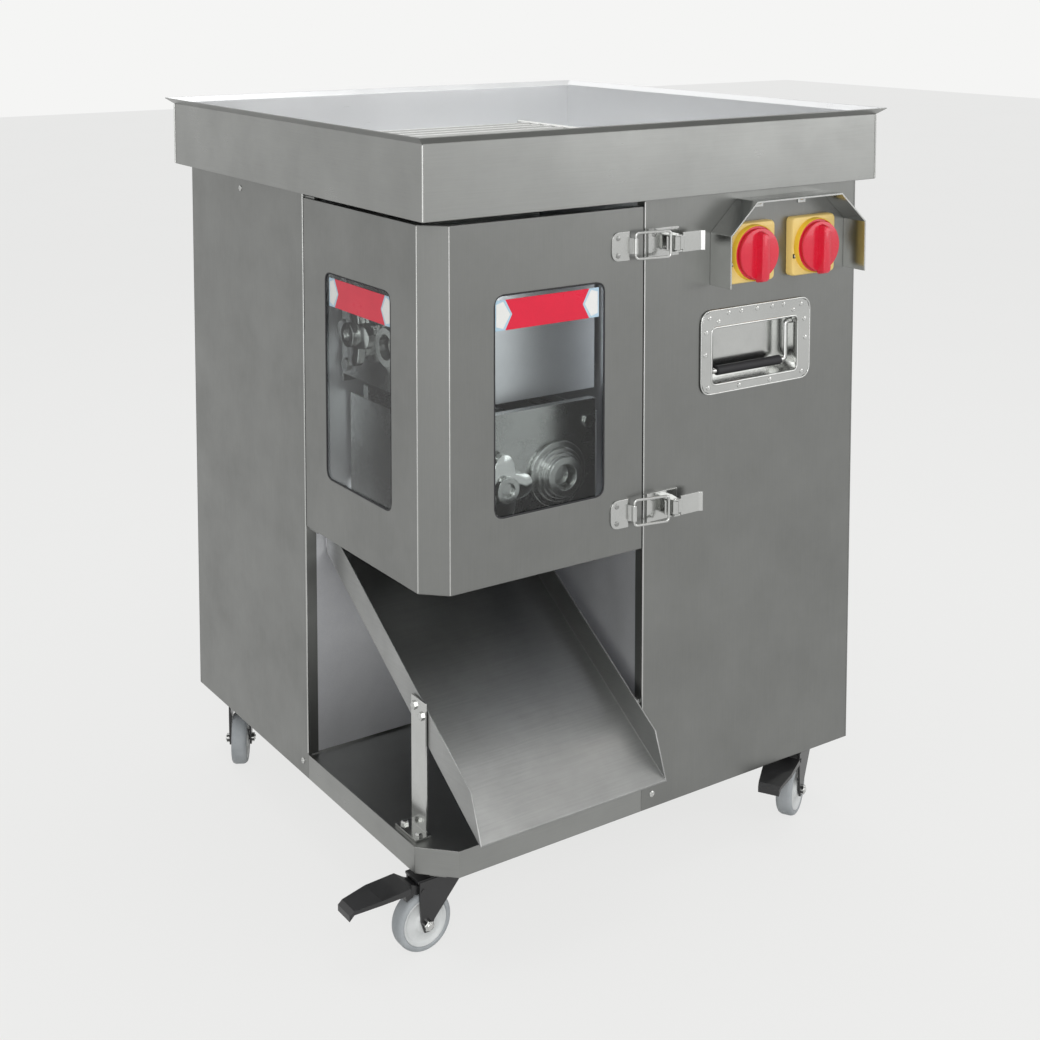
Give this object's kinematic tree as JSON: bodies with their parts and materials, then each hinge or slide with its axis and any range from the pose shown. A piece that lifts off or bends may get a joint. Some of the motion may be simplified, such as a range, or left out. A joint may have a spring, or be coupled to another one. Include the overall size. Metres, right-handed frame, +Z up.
{
  "type": "meat_strip_cutter",
  "caption": "Stainless steel meat strip cutter on casters with a hopper tray, crossed cutter groups behind a windowed guard door and a sloping discharge chute",
  "frame": {"origin": "bottom centre of the bounding box, on the floor between the casters", "axes": "+Z up, front with latches, switches and chute outlet faces -Y, side window faces -X"},
  "size_m": [0.811, 0.777, 1.0035],
  "materials": {
    "brushed_steel": "brushed",
    "bright_steel": "ground",
    "window_pane": "clear",
    "knob_red": "gloss",
    "switch_yellow": "matte",
    "black_plastic": "matte",
    "black_paint": "satin",
    "wheel_grey": "matte",
    "cast_housing": "painted"
  },
  "bodies": {
    "frame": {"base_pan": "brushed_steel", "cable_gland": "black_plastic", "chamber_liner": "brushed_steel", "chute_strap": "brushed_steel", "discharge_chute": "brushed_steel", "feed_grid": "bright_steel", "frame_posts": "brushed_steel", "front_panel": "brushed_steel", "handle_pan": "brushed_steel", "hopper_tray": "brushed_steel", "left_panel": "brushed_steel", "left_switch_plate": "switch_yellow", "lower_comb_a": "bright_steel", "lower_comb_b": "bright_steel", "lower_cutter_frame": "bright_steel", "lower_drive": "cast_housing", "lower_guard_plate": "bright_steel", "lower_latch_base": "bright_steel", "rear_panel": "brushed_steel", "right_panel": "brushed_steel", "right_switch_plate": "switch_yellow", "switch_block": "black_plastic", "switch_guard": "brushed_steel", "upper_comb_a": "bright_steel", "upper_comb_b": "bright_steel", "upper_cutter_frame": "bright_steel", "upper_drive": "cast_housing", "upper_guard_plate": "bright_steel", "upper_latch_base": "bright_steel"},
    "door": {"guard_door": "brushed_steel", "front_window": "window_pane", "side_window": "window_pane", "upper_keeper": "bright_steel", "lower_keeper": "bright_steel"},
    "carry_handle_body": {"carry_handle": "black_paint"},
    "upper_bail_body": {"upper_bail": "bright_steel"},
    "upper_lever_body": {"upper_lever": "bright_steel"},
    "upper_cutter_a": {"upper_shaft_a": "bright_steel", "upper_blades_a": "bright_steel"},
    "upper_cutter_b": {"upper_shaft_b": "bright_steel", "upper_blades_b": "bright_steel"},
    "lower_bail_body": {"lower_bail": "bright_steel"},
    "lower_lever_body": {"lower_lever": "bright_steel"},
    "lower_cutter_a": {"lower_shaft_a": "bright_steel", "lower_blades_a": "bright_steel"},
    "lower_cutter_b": {"lower_shaft_b": "bright_steel", "lower_blades_b": "bright_steel"},
    "left_knob_body": {"left_knob": "knob_red"},
    "right_knob_body": {"right_knob": "knob_red"},
    "front_left_swivel": {"front_left_fork": "black_paint"},
    "front_left_roller": {"front_left_wheel": "wheel_grey"},
    "front_right_swivel": {"front_right_fork": "black_paint"},
    "front_right_roller": {"front_right_wheel": "wheel_grey"},
    "rear_left_swivel": {"rear_left_fork": "black_paint"},
    "rear_left_roller": {"rear_left_wheel": "wheel_grey"},
    "rear_right_swivel": {"rear_right_fork": "black_paint"},
    "rear_right_roller": {"rear_right_wheel": "wheel_grey"},
    "front_left_brake": {"front_left_pedal": "black_paint"},
    "front_right_brake": {"front_right_pedal": "black_paint"}
  },
  "joints": [
    {"name": "door_hinge", "type": "hinge", "parent": "frame", "child": "door", "pos_m": [-0.3055, -0.0305, 0.6745], "axis": [0, 0, -1], "range_deg": [0, 110]},
    {"name": "upper_bail_hinge", "type": "hinge", "parent": "door", "child": "upper_bail_body", "pos_m": [-0.016, -0.334, 0.8475], "axis": [0, 0, -1], "range_deg": [0, 100]},
    {"name": "upper_lever_hinge", "type": "hinge", "parent": "frame", "child": "upper_lever_body", "pos_m": [0.042, -0.345, 0.8475], "axis": [0, 0, -1], "range_deg": [-15, 80]},
    {"name": "lower_bail_hinge", "type": "hinge", "parent": "door", "child": "lower_bail_body", "pos_m": [-0.016, -0.334, 0.5055], "axis": [0, 0, -1], "range_deg": [0, 100]},
    {"name": "lower_lever_hinge", "type": "hinge", "parent": "frame", "child": "lower_lever_body", "pos_m": [0.042, -0.345, 0.5055], "axis": [0, 0, -1], "range_deg": [-15, 80]},
    {"name": "left_knob_turn", "type": "hinge", "parent": "frame", "child": "left_knob_body", "pos_m": [0.176, -0.3465, 0.822], "axis": [0, 1, 0], "range_deg": [0, 90]},
    {"name": "right_knob_turn", "type": "hinge", "parent": "frame", "child": "right_knob_body", "pos_m": [0.287, -0.3465, 0.822], "axis": [0, 1, 0], "range_deg": [0, 90]},
    {"name": "handle_hinge", "type": "hinge", "parent": "frame", "child": "carry_handle_body", "pos_m": [0.192, -0.3145, 0.7165], "axis": [-1, 0, 0], "range_deg": [0, 90]},
    {"name": "upper_cutter_a_turn", "type": "hinge", "parent": "frame", "child": "upper_cutter_a", "pos_m": [-0.1455, -0.1635, 0.7205], "axis": [1, 0, 0], "continuous": true},
    {"name": "upper_cutter_b_turn", "type": "hinge", "parent": "frame", "child": "upper_cutter_b", "pos_m": [-0.1455, -0.0735, 0.7205], "axis": [1, 0, 0], "continuous": true},
    {"name": "lower_cutter_a_turn", "type": "hinge", "parent": "frame", "child": "lower_cutter_a", "pos_m": [-0.0935, -0.1585, 0.5555], "axis": [0, 1, 0], "continuous": true},
    {"name": "lower_cutter_b_turn", "type": "hinge", "parent": "frame", "child": "lower_cutter_b", "pos_m": [-0.1835, -0.1585, 0.5555], "axis": [0, 1, 0], "continuous": true},
    {"name": "front_left_swivel_turn", "type": "hinge", "parent": "frame", "child": "front_left_swivel", "pos_m": [-0.2655, -0.2785, 0.0935], "axis": [0, 0, 1], "continuous": true},
    {"name": "front_left_wheel_roll", "type": "hinge", "parent": "front_left_swivel", "child": "front_left_roller", "pos_m": [-0.2995, -0.2785, 0.0375], "axis": [0, -1, 0], "continuous": true},
    {"name": "front_left_pedal_press", "type": "hinge", "parent": "front_left_swivel", "child": "front_left_brake", "pos_m": [-0.3055, -0.2785, 0.082], "axis": [0, -1, 0], "range_deg": [0, 7]},
    {"name": "front_right_swivel_turn", "type": "hinge", "parent": "frame", "child": "front_right_swivel", "pos_m": [0.3285, -0.2785, 0.0935], "axis": [0, 0, 1], "continuous": true},
    {"name": "front_right_wheel_roll", "type": "hinge", "parent": "front_right_swivel", "child": "front_right_roller", "pos_m": [0.29906, -0.2955, 0.0375], "axis": [0.5, -0.866, 0], "continuous": true},
    {"name": "front_right_pedal_press", "type": "hinge", "parent": "front_right_swivel", "child": "front_right_brake", "pos_m": [0.29386, -0.2985, 0.082], "axis": [0.5, -0.866, 0], "range_deg": [0, 7]},
    {"name": "rear_left_swivel_turn", "type": "hinge", "parent": "frame", "child": "rear_left_swivel", "pos_m": [-0.2655, 0.3115, 0.0935], "axis": [0, 0, 1], "continuous": true},
    {"name": "rear_left_wheel_roll", "type": "hinge", "parent": "rear_left_swivel", "child": "rear_left_roller", "pos_m": [-0.2825, 0.28206, 0.0375], "axis": [0.866, -0.5, 0], "continuous": true},
    {"name": "rear_right_swivel_turn", "type": "hinge", "parent": "frame", "child": "rear_right_swivel", "pos_m": [0.3285, 0.3115, 0.0935], "axis": [0, 0, 1], "continuous": true},
    {"name": "rear_right_wheel_roll", "type": "hinge", "parent": "rear_right_swivel", "child": "rear_right_roller", "pos_m": [0.3455, 0.28206, 0.0375], "axis": [0.866, 0.5, 0], "continuous": true}
  ],
  "couplings": [
    {"joint": "upper_cutter_b_turn", "follows": "upper_cutter_a_turn", "ratio": -1},
    {"joint": "lower_cutter_b_turn", "follows": "lower_cutter_a_turn", "ratio": -1}
  ]
}
